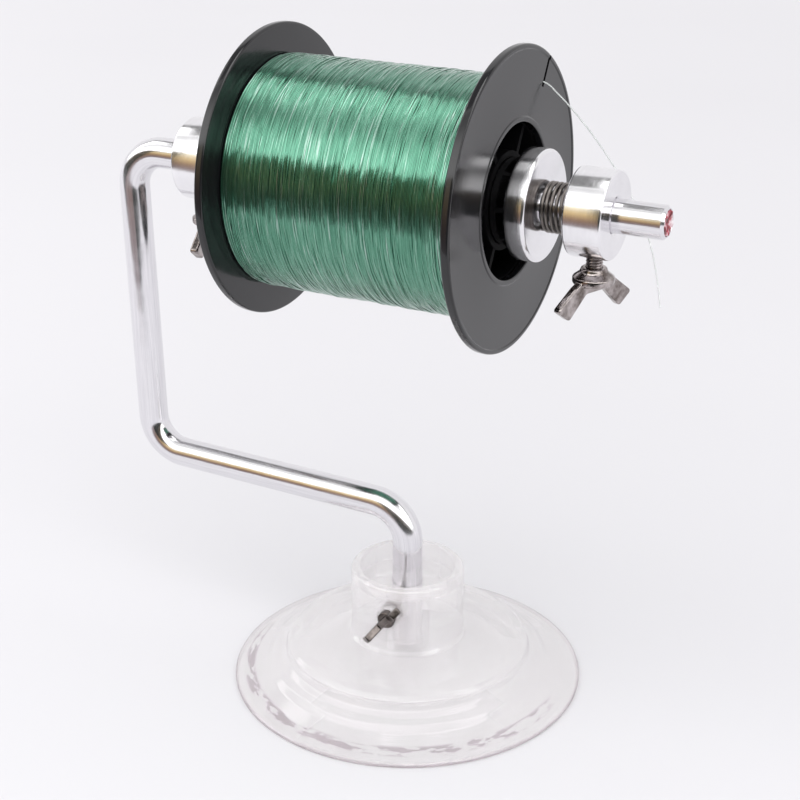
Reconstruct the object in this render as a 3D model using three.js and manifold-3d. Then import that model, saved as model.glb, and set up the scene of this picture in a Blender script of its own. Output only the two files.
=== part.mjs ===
// Portable fishing-line winding stand, millimetres, +Z up.
// A bent aluminium rod stands in a clear PVC suction cup. A spool of monofilament turns on the
// rod's level end between two sprung conical bushes, each backed by a collar with a wing screw.
// The origin is the centre of the footprint, on the surface that the cup stands on.

import * as THREE from 'three';
import { mergeVertices } from 'three/addons/utils/BufferGeometryUtils.js';
import Module from 'manifold-3d';

const manifold = await Module();
manifold.setup();

// ---------------------------------------------------------------- driving dimensions

const GAP = 0.3;              // between pieces that touch
const RUNNING_FIT = 0.08;     // radial clearance on the rod

// rod: up out of the cup, out to the post, up the post and back along the axle
const ROD_R = 4;
const ROD_FOOT_Z = 9.4;
const ROD_BEND_R = 10;
const ROD_SIDES = 16;
const LOW_RUN_Z = 48.35;      // at the cup's axis
const POST_FOOT = { x: -80.35, z: 49.75 };
const POST_HEAD = { x: -82.05, z: 135.25 };
const AXLE_Z = POST_HEAD.z;
const AXLE_TIP_X = 65.7;
const TIP_CHAMFER = 0.7;
const PLUG_R = 3.0;
const PLUG_DEPTH = 4;
const PLUG_PROUD = 0.35;

// suction cup
const CUP_R = 46.9;
const CUP_RIM_T = 1.0;
const CUP_LIP_R = 44.6;       // inner edge of the flat ring that touches the table
const DOME_R = 31.25;
const DOME_Z = 10.8;
const NECK_R = 15.1;
const NECK_ROOT_Z = 13;
const NECK_TOP_Z = 31.9;
const RECESS_R = 12.5;
const RECESS_FLOOR_Z = 27;

// spool: two flanges on a ribbed barrel
const SPOOL_LEFT_X = -37.6;
const SPOOL_RIGHT_X = 28.36;
const SPOOL_MID_X = (SPOOL_LEFT_X + SPOOL_RIGHT_X) / 2;
const FLANGE_R = 36.4;
const FLANGE_T = 2.1;
const FLANGE_HOLE_R = 18.6;
const BARREL_R = 20.4;
const BARREL_WALL = 1.8;
const SLEEVE_R = 11.8;
const SLEEVE_BORE_R = 10.2;
const RIB_COUNT = 6;
const RIB_T = 1.4;
const PACK_R = 29.1;
const SLIT_ANGLE = THREE.MathUtils.degToRad(59.5);   // from +Y towards +Z
const SLIT_W = 1.1;
const SLIT_FLOOR_R = 28.3;

// bushes, springs and collars, as distances from the middle of the spool
const BUSH_FRONT = 40.6;
const BUSH_R = 13.3;
const BUSH_RIM_L = 5.2;
const BUSH_CONE_R = 11.4;
const BUSH_NOSE_R = 8.2;
const BUSH_LENGTH = 17;
const BUSH_BEVEL = 0.8;
const SPRING_R = 6.05;
const SPRING_WIRE = 0.9;
const SPRING_TURNS = 6;
const COLLAR_NEAR = 48.5;
const COLLAR_FAR = 57.85;
const COLLAR_R = 10.45;
const COLLAR_BEVEL = 0.5;

// wing screws: the base screw is a smaller one with a slim hub, sunk in a counterbore
const COLLAR_SCREW = { studR: 2, scale: 1, thick: 2.1, hubFootR: 3, hubR: 5 };
const BASE_SCREW = { studR: 1.5, scale: 0.61, thick: 1.9, hubFootR: 2, hubR: 2.3 };
const SCREW_HOLE_CLEARANCE = 0.3;
const STUD_TIP_GAP = 0.3;
const LEFT_WING_ANGLE = THREE.MathUtils.degToRad(100);    // of the span, from +X
const RIGHT_WING_ANGLE = THREE.MathUtils.degToRad(68.2);
const BASE_SCREW_Z = 23.1;
const BASE_SCREW_BEARING = THREE.MathUtils.degToRad(-84);
const BASE_WING_ANGLE = THREE.MathUtils.degToRad(50);     // of the span, from level
const BASE_SCREW_SEAT_R = 12.1;                           // from the cup's axis
const COUNTERBORE_R = 2.9;
const NUT_ACROSS_FLATS = 5.5;
const NUT_T = 2.4;
const NUT_NEAR_R = 8.2;

// loose end of the line: it leaves the wound line, passes out through the slit and droops
const LINE_D = 0.35;
const TAIL_STEPS = 40;
const TAIL_ROUTE = [
  [24.6, 14.2, 26.1], [26.0, 15.0, 25.55], [27.3, 15.05, 25.5], [28.7, 15.3, 25.1],
  [30.6, 17.4, 22.6], [33.0, 20.6, 18.7], [36.0, 23.7, 13.8], [39.0, 25.9, 9.0],
  [42.2, 27.4, 3.9], [45.8, 28.2, -1.7], [49.6, 27.9, -7.8], [52.8, 26.8, -14.0],
  [55.0, 25.6, -19.9], [56.4, 25.0, -25.4], [57.0, 25.0, -29.4],
];                            // x, y and height above the axle

const COLOURS = {
  clearPvc: 0xd8d3dc,
  aluminium: 0xd2d2d6,
  nickel: 0x8a8078,
  springSteel: 0x6f6a66,
  blackPlastic: 0x17171a,
  greenLine: 0x4f9580,
  paleLine: 0xd9e4e0,
  redRubber: 0x8a2a30,
};

// ---------------------------------------------------------------- helpers

const material = (color, roughness, metalness) =>
  new THREE.MeshStandardMaterial({ color, roughness, metalness });

function named(name, geometry, mat) {
  const mesh = new THREE.Mesh(geometry, mat);
  mesh.name = name;
  return mesh;
}

function toSolid(geometry) {
  const bare = geometry.clone();
  bare.deleteAttribute('normal');
  bare.deleteAttribute('uv');
  const merged = mergeVertices(bare, 1e-3);
  const vertProperties = new Float32Array(merged.attributes.position.array);
  const triVerts = new Uint32Array(merged.index.array);
  return new manifold.Manifold(new manifold.Mesh({ numProp: 3, vertProperties, triVerts }));
}

function toGeometry(solid) {
  const mesh = solid.getMesh();
  const geometry = new THREE.BufferGeometry();
  geometry.setAttribute('position', new THREE.BufferAttribute(new Float32Array(mesh.vertProperties), 3));
  geometry.setIndex(new THREE.BufferAttribute(new Uint32Array(mesh.triVerts), 1));
  geometry.computeVertexNormals();
  return geometry;
}

// Lathes turn about +Y; this one turns a profile of [radius, height] about +Z.
function latheZ(profile, segments) {
  const points = profile.map(([r, z]) => new THREE.Vector2(r, z));
  return new THREE.LatheGeometry(points, segments).rotateX(Math.PI / 2);
}

// Turns a profile of [radius, x] about the X axis.
function latheX(profile, segments) {
  return latheZ(profile, segments).rotateY(Math.PI / 2);
}

// A ring profile closes on itself, so that its lathe has a bore.
const closed = (profile) => [...profile, profile[0]];

const solidRod = (radius, from, to) => [[0, from], [radius, from], [radius, to], [0, to]];

// Points along a quarter turn of an edge's rounding, in a [radius, height] profile.
function quarterRound(centreR, centreH, radius, fromDeg, toDeg, steps) {
  return Array.from({ length: steps + 1 }, (_, i) => {
    const a = THREE.MathUtils.degToRad(fromDeg + ((toDeg - fromDeg) * i) / steps);
    return [centreR + radius * Math.cos(a), centreH + radius * Math.sin(a)];
  });
}

// ---------------------------------------------------------------- bent rod

// A path in the XZ plane with rounded corners, sampled only where it bends.
class FilletedPath extends THREE.Curve {
  constructor(corners, radius, stepsPerBend) {
    super();
    const at = ([x, z]) => new THREE.Vector3(x, 0, z);
    const points = corners.map(at);
    this.stations = [];
    const last = points.length - 1;
    this.addStation(points[0], points[1].clone().sub(points[0]).normalize());
    for (let i = 1; i < last; i += 1) {
      this.addBend(points[i - 1], points[i], points[i + 1], radius, stepsPerBend);
    }
    this.addStation(points[last], points[last].clone().sub(points[last - 1]).normalize());
  }

  addStation(point, tangent) {
    this.stations.push({ point, tangent });
  }

  addBend(before, corner, after, radius, steps) {
    const into = corner.clone().sub(before).normalize();
    const out = after.clone().sub(corner).normalize();
    const turn = into.angleTo(out);
    const side = new THREE.Vector3().crossVectors(into, out).normalize();
    const start = corner.clone().addScaledVector(into, -radius * Math.tan(turn / 2));
    const centre = start.clone().addScaledVector(side.clone().cross(into), radius);
    for (let i = 0; i <= steps; i += 1) {
      const angle = (turn * i) / steps;
      const arm = start.clone().sub(centre).applyAxisAngle(side, angle);
      this.addStation(centre.clone().add(arm), into.clone().applyAxisAngle(side, angle));
    }
  }

  getSpacedPoints() {
    return this.stations.map((station) => station.point);
  }

  computeFrenetFrames() {
    const across = new THREE.Vector3(0, 1, 0);
    const tangents = this.stations.map((station) => station.tangent);
    const binormals = tangents.map(() => across.clone());
    const normals = tangents.map((tangent) => across.clone().cross(tangent));
    return { tangents, normals, binormals };
  }
}

function discShape(radius, sides) {
  const corners = Array.from({ length: sides }, (_, i) => {
    const a = (2 * Math.PI * i) / sides;
    return new THREE.Vector2(radius * Math.cos(a), radius * Math.sin(a));
  });
  return new THREE.Shape(corners);
}

function armRod() {
  const corners = [
    [0, ROD_FOOT_Z],
    [0, LOW_RUN_Z],
    [POST_FOOT.x, POST_FOOT.z],
    [POST_HEAD.x, POST_HEAD.z],
    [AXLE_TIP_X, AXLE_Z],
  ];
  const path = new FilletedPath(corners, ROD_BEND_R, 8);
  const steps = path.stations.length - 1;
  const sweep = new THREE.ExtrudeGeometry(discShape(ROD_R, ROD_SIDES), { steps, extrudePath: path });
  const plugBore = latheX(solidRod(PLUG_R + RUNNING_FIT, AXLE_TIP_X - PLUG_DEPTH - GAP, AXLE_TIP_X + 1), 24);
  const chamfer = latheX(closed([
    [ROD_R - TIP_CHAMFER, AXLE_TIP_X + 0.1],
    [ROD_R + 0.1, AXLE_TIP_X - TIP_CHAMFER],
    [ROD_R + 1, AXLE_TIP_X - TIP_CHAMFER],
    [ROD_R + 1, AXLE_TIP_X + 0.1],
  ]), 32);
  plugBore.translate(0, 0, AXLE_Z);
  chamfer.translate(0, 0, AXLE_Z);
  const solid = toSolid(sweep).subtract(toSolid(plugBore)).subtract(toSolid(chamfer));
  return named('arm_rod', toGeometry(solid), material(COLOURS.aluminium, 0.22, 1));
}

function rodEndPlug() {
  const base = AXLE_TIP_X - PLUG_DEPTH;
  const face = AXLE_TIP_X + PLUG_PROUD;
  const profile = [[0, base], [PLUG_R, base], [PLUG_R, face - 0.4], [PLUG_R - 0.5, face], [0, face]];
  const geometry = latheX(profile, 24);
  geometry.translate(0, 0, AXLE_Z);
  return named('rod_end_plug', geometry, material(COLOURS.redRubber, 0.5, 0));
}

// ---------------------------------------------------------------- suction cup

// Turns a piece built along +X so that it points along the base screw, at the screw's height.
function alongBaseScrew(geometry) {
  return geometry.rotateZ(BASE_SCREW_BEARING).translate(0, 0, BASE_SCREW_Z);
}

function hexPrismX(acrossFlats, from, to) {
  const corner = acrossFlats / Math.sqrt(3);
  return latheX(solidRod(corner, from, to), 6);
}

function suctionCup() {
  const profile = [
    [0, 6.8],
    [20, 6.3],
    [27, 5.2],
    [34, 2.6],
    [41, 0.9],
    [CUP_LIP_R, 0],
    [CUP_R - 0.2, 0],
    [CUP_R, 0.25],
    [CUP_R, CUP_RIM_T - 0.2],
    [CUP_R - 0.4, CUP_RIM_T],
    [42, 2.5],
    [38.2, 4.1],
    [36.6, 5.6],
    [34.6, 6.3],
    [33.2, 7.4],
    [32.4, 9.6],
    [DOME_R, DOME_Z],
    [28.5, 11.7],
    [22, 12.4],
    [NECK_R + 1.2, NECK_ROOT_Z - 0.2],
    [NECK_R, NECK_ROOT_Z + 0.8],
    ...quarterRound(NECK_R - 1.4, NECK_TOP_Z - 1.4, 1.4, 0, 90, 3),
    [RECESS_R + 0.3, NECK_TOP_Z - 0.1],
    [RECESS_R, NECK_TOP_Z - 0.6],
    [RECESS_R - 0.3, RECESS_FLOOR_Z + 0.5],
    [RECESS_R - 1, RECESS_FLOOR_Z],
    [ROD_R + RUNNING_FIT, RECESS_FLOOR_Z],
    [ROD_R + RUNNING_FIT, ROD_FOOT_Z - GAP],
    [0, ROD_FOOT_Z - GAP],
  ];
  const holeR = BASE_SCREW.studR + SCREW_HOLE_CLEARANCE;
  const hubFoot = BASE_SCREW_SEAT_R + HUB_FOOT * BASE_SCREW.scale;
  const cutters = [
    latheX(solidRod(holeR, ROD_R - 1, NECK_R + 2), 16),
    latheX(solidRod(COUNTERBORE_R, hubFoot - GAP, NECK_R + 2), 20),
    hexPrismX(NUT_ACROSS_FLATS + 2 * GAP, NUT_NEAR_R - GAP, NUT_NEAR_R + NUT_T + GAP),
  ];
  let solid = toSolid(latheZ(profile, 40));
  for (const cutter of cutters) {
    solid = solid.subtract(toSolid(alongBaseScrew(cutter)));
  }
  return named('suction_cup', toGeometry(solid), material(COLOURS.clearPvc, 0.12, 0));
}

function baseNut() {
  const bore = latheX(solidRod(BASE_SCREW.studR + GAP, NUT_NEAR_R - 1, NUT_NEAR_R + NUT_T + 1), 16);
  const hexagon = hexPrismX(NUT_ACROSS_FLATS, NUT_NEAR_R, NUT_NEAR_R + NUT_T);
  const geometry = toGeometry(toSolid(hexagon).subtract(toSolid(bore)));
  return named('base_nut', alongBaseScrew(geometry), material(COLOURS.nickel, 0.35, 1));
}

// ---------------------------------------------------------------- wing screws

// A wing screw is built with its stud's axis along +X, x = 0 on the surface it is screwed into,
// and its wings spread in the XY plane.
const HUB_FOOT = 2.4;
const STUD_IN_HEAD = 4.4;

function wingHeadGeometry({ studR, scale, thick, hubFootR, hubR }) {
  const s = (value) => value * scale;
  const hub = latheX([
    [0, s(HUB_FOOT)],
    [hubFootR, s(HUB_FOOT)],
    [hubFootR + s(0.3), s(3.4)],
    [hubR - s(0.1), s(4.8)],
    [hubR, s(5.2)],
    [hubR, s(6.2)],
    [hubR - s(0.4), s(6.6)],
    [0, s(6.6)],
  ], 20);
  // one half of the outline, as [along the screw, across]: shoulder, tip, root of the web
  const half = [[4.9, 4.3], [6.3, 6.8], [10.66, 12.55], [13.7, 8.54], [8.3, 3.1]];
  const outline = [...half, ...half.map(([h, w]) => [h, -w]).reverse()];
  const shape = new THREE.Shape(outline.map(([h, w]) => new THREE.Vector2(s(h), s(w))));
  const wings = new THREE.ExtrudeGeometry(shape, { depth: thick, bevelEnabled: false });
  wings.translate(0, 0, -thick / 2);
  const socket = latheX(solidRod(studR + RUNNING_FIT, 0, s(STUD_IN_HEAD) + GAP), 16);
  return toGeometry(toSolid(hub).add(toSolid(wings)).subtract(toSolid(socket)));
}

// `inside` is how far the stud reaches below the surface.
function studGeometry({ studR, scale }, inside) {
  const end = STUD_IN_HEAD * scale;
  return latheX([[0, -inside], [studR - 0.5, -inside], [studR, 0.5 - inside], [studR, end], [0, end]], 16);
}

function wingScrew(prefix, screw, inside) {
  const group = new THREE.Group();
  const nickel = material(COLOURS.nickel, 0.3, 1);
  group.add(named(`${prefix}_wing_head`, wingHeadGeometry(screw), nickel));
  group.add(named(`${prefix}_screw_stud`, studGeometry(screw, inside), nickel));
  return group;
}

// The collar screws point straight down.
function collarScrew(side, axialX, wingAngle) {
  const screw = wingScrew(side, COLLAR_SCREW, COLLAR_R - ROD_R - STUD_TIP_GAP);
  screw.rotation.set(0, Math.PI / 2, wingAngle - Math.PI / 2, 'ZYX');
  screw.position.set(axialX, 0, AXLE_Z - COLLAR_R);
  return screw;
}

function baseScrew() {
  const screw = wingScrew('base', BASE_SCREW, BASE_SCREW_SEAT_R - ROD_R - STUD_TIP_GAP);
  screw.rotation.set(BASE_WING_ANGLE, 0, BASE_SCREW_BEARING, 'ZYX');
  const out = new THREE.Vector3(Math.cos(BASE_SCREW_BEARING), Math.sin(BASE_SCREW_BEARING), 0);
  screw.position.copy(out.multiplyScalar(BASE_SCREW_SEAT_R)).setZ(BASE_SCREW_Z);
  return screw;
}

// ---------------------------------------------------------------- bushes, springs and collars

// Each of these is built for the right side, with x counted from the middle of the spool.
function bushGeometry() {
  const back = BUSH_FRONT - BUSH_RIM_L;
  const bore = ROD_R + RUNNING_FIT;
  return latheX(closed([
    [bore, BUSH_FRONT - BUSH_LENGTH],
    [BUSH_NOSE_R, BUSH_FRONT - BUSH_LENGTH],
    [BUSH_CONE_R, back],
    [BUSH_R - 0.5, back],
    [BUSH_R, back + 0.5],
    [BUSH_R, BUSH_FRONT - BUSH_BEVEL],
    [BUSH_R - BUSH_BEVEL, BUSH_FRONT],
    [bore, BUSH_FRONT],
  ]), 32);
}

class SpringHelix extends THREE.Curve {
  constructor(radius, from, to, turns) {
    super();
    Object.assign(this, { radius, from, to, turns });
  }

  getPoint(t, target = new THREE.Vector3()) {
    const a = 2 * Math.PI * this.turns * t;
    const x = this.from + (this.to - this.from) * t;
    return target.set(x, this.radius * Math.cos(a), this.radius * Math.sin(a));
  }
}

function springGeometry() {
  const margin = SPRING_WIRE / 2 + 0.15;
  const helix = new SpringHelix(
    SPRING_R - SPRING_WIRE / 2,
    BUSH_FRONT + margin,
    COLLAR_NEAR - margin,
    SPRING_TURNS,
  );
  const steps = 12 * SPRING_TURNS;
  return new THREE.ExtrudeGeometry(discShape(SPRING_WIRE / 2, 6), { steps, extrudePath: helix });
}

function collarGeometry() {
  const bore = ROD_R + RUNNING_FIT;
  return latheX(closed([
    [bore + 0.4, COLLAR_NEAR],
    [COLLAR_R - COLLAR_BEVEL, COLLAR_NEAR],
    [COLLAR_R, COLLAR_NEAR + COLLAR_BEVEL],
    [COLLAR_R, COLLAR_FAR - COLLAR_BEVEL],
    [COLLAR_R - COLLAR_BEVEL, COLLAR_FAR],
    [bore + 0.5, COLLAR_FAR],
    [bore, COLLAR_FAR - 0.5],
    [bore, COLLAR_NEAR + 0.4],
  ]), 32);
}

function drilledCollar() {
  const hole = latheX(solidRod(COLLAR_SCREW.studR + SCREW_HOLE_CLEARANCE, ROD_R - 1, COLLAR_R + 1), 16);
  hole.rotateY(Math.PI / 2).translate((COLLAR_NEAR + COLLAR_FAR) / 2, 0, 0);
  return toGeometry(toSolid(collarGeometry()).subtract(toSolid(hole)));
}

// The left side's pieces are the right side's, turned half round about the vertical.
function axleHardware(side) {
  const group = new THREE.Group();
  const aluminium = material(COLOURS.aluminium, 0.2, 1);
  group.add(named(`${side}_bush`, bushGeometry(), aluminium));
  group.add(named(`${side}_spring`, springGeometry(), material(COLOURS.springSteel, 0.35, 1)));
  group.add(named(`${side}_collar`, drilledCollar(), aluminium));
  group.position.set(SPOOL_MID_X, 0, AXLE_Z);
  group.rotation.z = side === 'left' ? Math.PI : 0;
  return group;
}

// ---------------------------------------------------------------- spool

function flangeGeometry(from, to) {
  const edge = 0.5;
  return latheX(closed([
    [FLANGE_HOLE_R, from],
    [FLANGE_R - edge, from],
    [FLANGE_R, from + edge],
    [FLANGE_R, to - edge],
    [FLANGE_R - edge, to],
    [FLANGE_HOLE_R, to],
  ]), 48);
}

function slitCutter() {
  const depth = FLANGE_R + 2 - SLIT_FLOOR_R;
  const box = new THREE.BoxGeometry(3 * FLANGE_T, depth, SLIT_W);
  box.translate(SPOOL_RIGHT_X - FLANGE_T / 2, SLIT_FLOOR_R + depth / 2, 0);
  return box.rotateX(SLIT_ANGLE);
}

function flange(side) {
  const from = side === 'right' ? SPOOL_RIGHT_X - FLANGE_T : SPOOL_LEFT_X;
  let solid = toSolid(flangeGeometry(from, from + FLANGE_T));
  if (side === 'right') {
    solid = solid.subtract(toSolid(slitCutter()));
  }
  const geometry = toGeometry(solid).translate(0, 0, AXLE_Z);
  return named(`${side}_flange`, geometry, material(COLOURS.blackPlastic, 0.28, 0));
}

// The barrel's section: a tube, a sleeve for the bushes and ribs between them.
function barrelShape() {
  const shape = new THREE.Shape();
  shape.absarc(0, 0, BARREL_R, 0, 2 * Math.PI, false);
  const bore = new THREE.Path();
  bore.absarc(0, 0, SLEEVE_BORE_R, 0, 2 * Math.PI, true);
  shape.holes.push(bore);
  const innerR = BARREL_R - BARREL_WALL;
  const pitch = (2 * Math.PI) / RIB_COUNT;
  for (let i = 0; i < RIB_COUNT; i += 1) {
    const from = SLIT_ANGLE + i * pitch;
    const outerHalf = Math.asin(RIB_T / 2 / innerR);
    const innerHalf = Math.asin(RIB_T / 2 / SLEEVE_R);
    const pocket = new THREE.Path();
    pocket.absarc(0, 0, innerR, from + outerHalf, from + pitch - outerHalf, false);
    pocket.absarc(0, 0, SLEEVE_R, from + pitch - innerHalf, from + innerHalf, true);
    pocket.closePath();
    shape.holes.push(pocket);
  }
  return shape;
}

function spoolBarrel() {
  const from = SPOOL_LEFT_X + FLANGE_T + GAP;
  const to = SPOOL_RIGHT_X - FLANGE_T - GAP;
  const options = { depth: to - from, bevelEnabled: false, curveSegments: 12 };
  const geometry = new THREE.ExtrudeGeometry(barrelShape(), options);
  // the section's x and y become the spool's y and z
  const turn = new THREE.Matrix4().makeBasis(
    new THREE.Vector3(0, 1, 0),
    new THREE.Vector3(0, 0, 1),
    new THREE.Vector3(1, 0, 0),
  );
  geometry.applyMatrix4(turn).translate(from, 0, AXLE_Z);
  return named('spool_barrel', geometry, material(COLOURS.blackPlastic, 0.35, 0));
}

function linePack() {
  const from = SPOOL_LEFT_X + FLANGE_T + GAP;
  const to = SPOOL_RIGHT_X - FLANGE_T - GAP;
  const bore = BARREL_R + GAP;
  const geometry = latheX(closed([[bore, from], [PACK_R, from], [PACK_R, to], [bore, to]]), 48);
  geometry.translate(0, 0, AXLE_Z);
  return named('line_pack', geometry, material(COLOURS.greenLine, 0.35, 0));
}

function lineTail() {
  const points = TAIL_ROUTE.map(([x, y, z]) => new THREE.Vector3(x, y, AXLE_Z + z));
  const curve = new THREE.CatmullRomCurve3(points, false, 'centripetal');
  const options = { steps: TAIL_STEPS, extrudePath: curve };
  const geometry = new THREE.ExtrudeGeometry(discShape(LINE_D / 2, 8), options);
  return named('line_tail', geometry, material(COLOURS.paleLine, 0.3, 0));
}

// ---------------------------------------------------------------- assembly

const collarMid = (COLLAR_NEAR + COLLAR_FAR) / 2;
const leftmost = POST_HEAD.x - ROD_R + 0.2;
const rightmost = AXLE_TIP_X + PLUG_PROUD;

const stand = new THREE.Group();
stand.add(suctionCup(), baseNut(), baseScrew());
stand.add(armRod(), rodEndPlug());
stand.add(flange('left'), flange('right'), spoolBarrel(), linePack(), lineTail());
stand.add(axleHardware('left'), axleHardware('right'));
stand.add(collarScrew('left', SPOOL_MID_X - collarMid, LEFT_WING_ANGLE));
stand.add(collarScrew('right', SPOOL_MID_X + collarMid, RIGHT_WING_ANGLE));
stand.position.x = -(leftmost + rightmost) / 2;

const part = new THREE.Group();
part.add(stand);

export default part;
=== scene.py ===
"""The looks of a portable fishing-line winding stand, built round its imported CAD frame.

Units are metres, +Z is up, and the stand rests on z = 0. The spool turns about an axle along X.
Lengths below are written in millimetres times MM.
"""

import math
import random

import bmesh
import bpy
from mathutils import Matrix, Vector, noise


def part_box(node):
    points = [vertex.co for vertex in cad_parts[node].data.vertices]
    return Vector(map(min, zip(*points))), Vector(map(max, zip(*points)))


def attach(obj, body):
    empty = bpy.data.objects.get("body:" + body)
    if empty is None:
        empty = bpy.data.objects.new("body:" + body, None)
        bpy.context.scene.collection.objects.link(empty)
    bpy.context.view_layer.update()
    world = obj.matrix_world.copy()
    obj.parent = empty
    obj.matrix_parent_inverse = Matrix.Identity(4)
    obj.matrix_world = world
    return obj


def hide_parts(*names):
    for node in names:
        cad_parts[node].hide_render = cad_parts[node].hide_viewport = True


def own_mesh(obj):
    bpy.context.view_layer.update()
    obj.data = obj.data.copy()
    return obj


MM = 0.001
TAU = 2 * math.pi

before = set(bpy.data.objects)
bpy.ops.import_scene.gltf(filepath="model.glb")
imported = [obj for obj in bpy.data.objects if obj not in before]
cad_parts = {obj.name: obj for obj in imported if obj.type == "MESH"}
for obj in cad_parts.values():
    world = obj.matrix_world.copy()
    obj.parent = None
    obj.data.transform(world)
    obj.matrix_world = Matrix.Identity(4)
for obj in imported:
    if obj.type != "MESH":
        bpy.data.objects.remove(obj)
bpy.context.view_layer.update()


# ---------------------------------------------------------------- places, from the frame


def middle(node):
    low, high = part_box(node)
    return (Vector(low) + Vector(high)) / 2


def extent(node, axis):
    """The lowest and highest value of a node's box along one axis, 0 for X to 2 for Z."""
    low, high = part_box(node)
    return low[axis], high[axis]


AXLE_Z = middle("rod_end_plug").z
SPOOL_X = (extent("left_flange", 0)[0] + extent("right_flange", 0)[1]) / 2
CUP_X = middle("suction_cup").x
AXLE_TIP_X = extent("arm_rod", 0)[1]
ROD_R = 4 * MM
FIT_MM = 0.08            # of a bore round the plug, stud or rod that fits it
SLACK_MM = 0.3           # of drilled holes and pockets round what they hold
FIT = FIT_MM * MM
SLACK = SLACK_MM * MM


# ---------------------------------------------------------------- camera

CAMERA_AZIMUTH = math.radians(27.56)
CAMERA_ELEVATION = math.radians(22.95)
CAMERA_DISTANCE = 408.1 * MM
CAMERA_TARGET = Vector((CUP_X - 2.27 * MM, 0, 78.86 * MM))

camera = bpy.data.objects.new("camera", bpy.data.cameras.new("camera"))
bpy.context.scene.collection.objects.link(camera)
to_camera = Vector((
    math.sin(CAMERA_AZIMUTH) * math.cos(CAMERA_ELEVATION),
    -math.cos(CAMERA_AZIMUTH) * math.cos(CAMERA_ELEVATION),
    math.sin(CAMERA_ELEVATION),
))
camera.location = CAMERA_TARGET + to_camera * CAMERA_DISTANCE
camera.rotation_euler = to_camera.to_track_quat("Z", "Y").to_euler()
camera.data.sensor_width = 36
camera.data.lens = 71.67
camera.data.clip_start = 0.01
bpy.context.scene.camera = camera
bpy.context.scene.view_settings.view_transform = "Standard"


# ---------------------------------------------------------------- material nodes


def set_stops(ramp, stops):
    """Gives a colour ramp its stops, each a position and a colour."""
    elements = ramp.color_ramp.elements
    while len(elements) < len(stops):
        elements.new(0.5)
    for element, (position, colour) in zip(elements, stops):
        element.position = position
        element.color = (*colour, 1)


class Nodes:
    """A material's node tree, with short calls for the few nodes that these finishes use."""

    def __init__(self, name):
        self.material = bpy.data.materials.new(name)
        self.material.use_nodes = True
        self.tree = self.material.node_tree
        self.shader = self.tree.nodes["Principled BSDF"]
        self.coordinates = self.tree.nodes.new("ShaderNodeTexCoord")

    def add(self, kind, **settings):
        node = self.tree.nodes.new(kind)
        for key, value in settings.items():
            setattr(node, key, value)
        return node

    def link(self, source, target):
        self.tree.links.new(source, target)

    def set(self, **values):
        for key, value in values.items():
            socket = self.shader.inputs[key.replace("_", " ")]
            socket.default_value = (*value, 1) if isinstance(value, tuple) and len(value) == 3 else value

    def place(self, source=None, scale=(1, 1, 1)):
        """The source stretched by scale. Without a source it is the place on the object, in metres."""
        mapping = self.add("ShaderNodeMapping")
        mapping.inputs["Scale"].default_value = scale
        self.link(source or self.coordinates.outputs["Object"], mapping.inputs["Vector"])
        return mapping.outputs["Vector"]

    def attribute(self, name, output="Vector"):
        return self.add("ShaderNodeAttribute", attribute_name=name).outputs[output]

    def noise(self, vector, scale, detail=3.0, roughness=0.5):
        node = self.add("ShaderNodeTexNoise")
        node.inputs["Scale"].default_value = scale
        node.inputs["Detail"].default_value = detail
        node.inputs["Roughness"].default_value = roughness
        self.link(vector, node.inputs["Vector"])
        return node.outputs["Fac"]

    def spread(self, source, low, high, to_low, to_high):
        """Maps low to high onto to_low to to_high, and holds the ends."""
        node = self.add("ShaderNodeMapRange")
        limits = {"From Min": low, "From Max": high, "To Min": to_low, "To Max": to_high}
        for name, value in limits.items():
            node.inputs[name].default_value = value
        self.link(source, node.inputs["Value"])
        return node.outputs["Result"]

    def ramp(self, source, *stops):
        node = self.add("ShaderNodeValToRGB")
        set_stops(node, stops)
        self.link(source, node.inputs["Fac"])
        return node.outputs["Color"]

    def math(self, operation, first, second):
        node = self.add("ShaderNodeMath", operation=operation)
        for socket, value in zip(node.inputs, (first, second)):
            if isinstance(value, (int, float)):
                socket.default_value = value
            else:
                self.link(value, socket)
        return node.outputs["Value"]

    def bump(self, height, distance, before=None):
        """A normal from the height, on top of the normal before it."""
        node = self.add("ShaderNodeBump")
        node.inputs["Distance"].default_value = distance
        self.link(height, node.inputs["Height"])
        if before is not None:
            self.link(before, node.inputs["Normal"])
        return node.outputs["Normal"]

    def drive(self, **sources):
        for key, source in sources.items():
            self.link(source, self.shader.inputs[key.replace("_", " ")])


def turned_metal(name, light, dark, roughness, ring_depth):
    """Lathe-turned metal: fine rings along the profile, faint smudges and a few longer scratches."""
    m = Nodes(name)
    grain = m.attribute("grain")
    rings = m.noise(m.place(grain, (0.15, 0.15, 9)), 1, 4, 0.6)
    broad = m.noise(m.place(grain, (0.3, 0.3, 1.2)), 1, 2)
    smudge = m.noise(m.place(scale=(160, 160, 160)), 1, 4, 0.6)
    mixed = m.math("ADD", m.math("MULTIPLY", rings, 0.5), m.math("MULTIPLY", smudge, 0.5))
    worn = m.math("MULTIPLY", smudge, broad)
    m.set(Metallic=1.0)
    m.drive(
        Base_Color=m.ramp(mixed, (0.3, dark), (0.65, light)),
        Roughness=m.spread(worn, 0.1, 0.45, roughness - 0.05, roughness + 0.08),
        Normal=m.bump(rings, ring_depth),
    )
    return m.material


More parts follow.
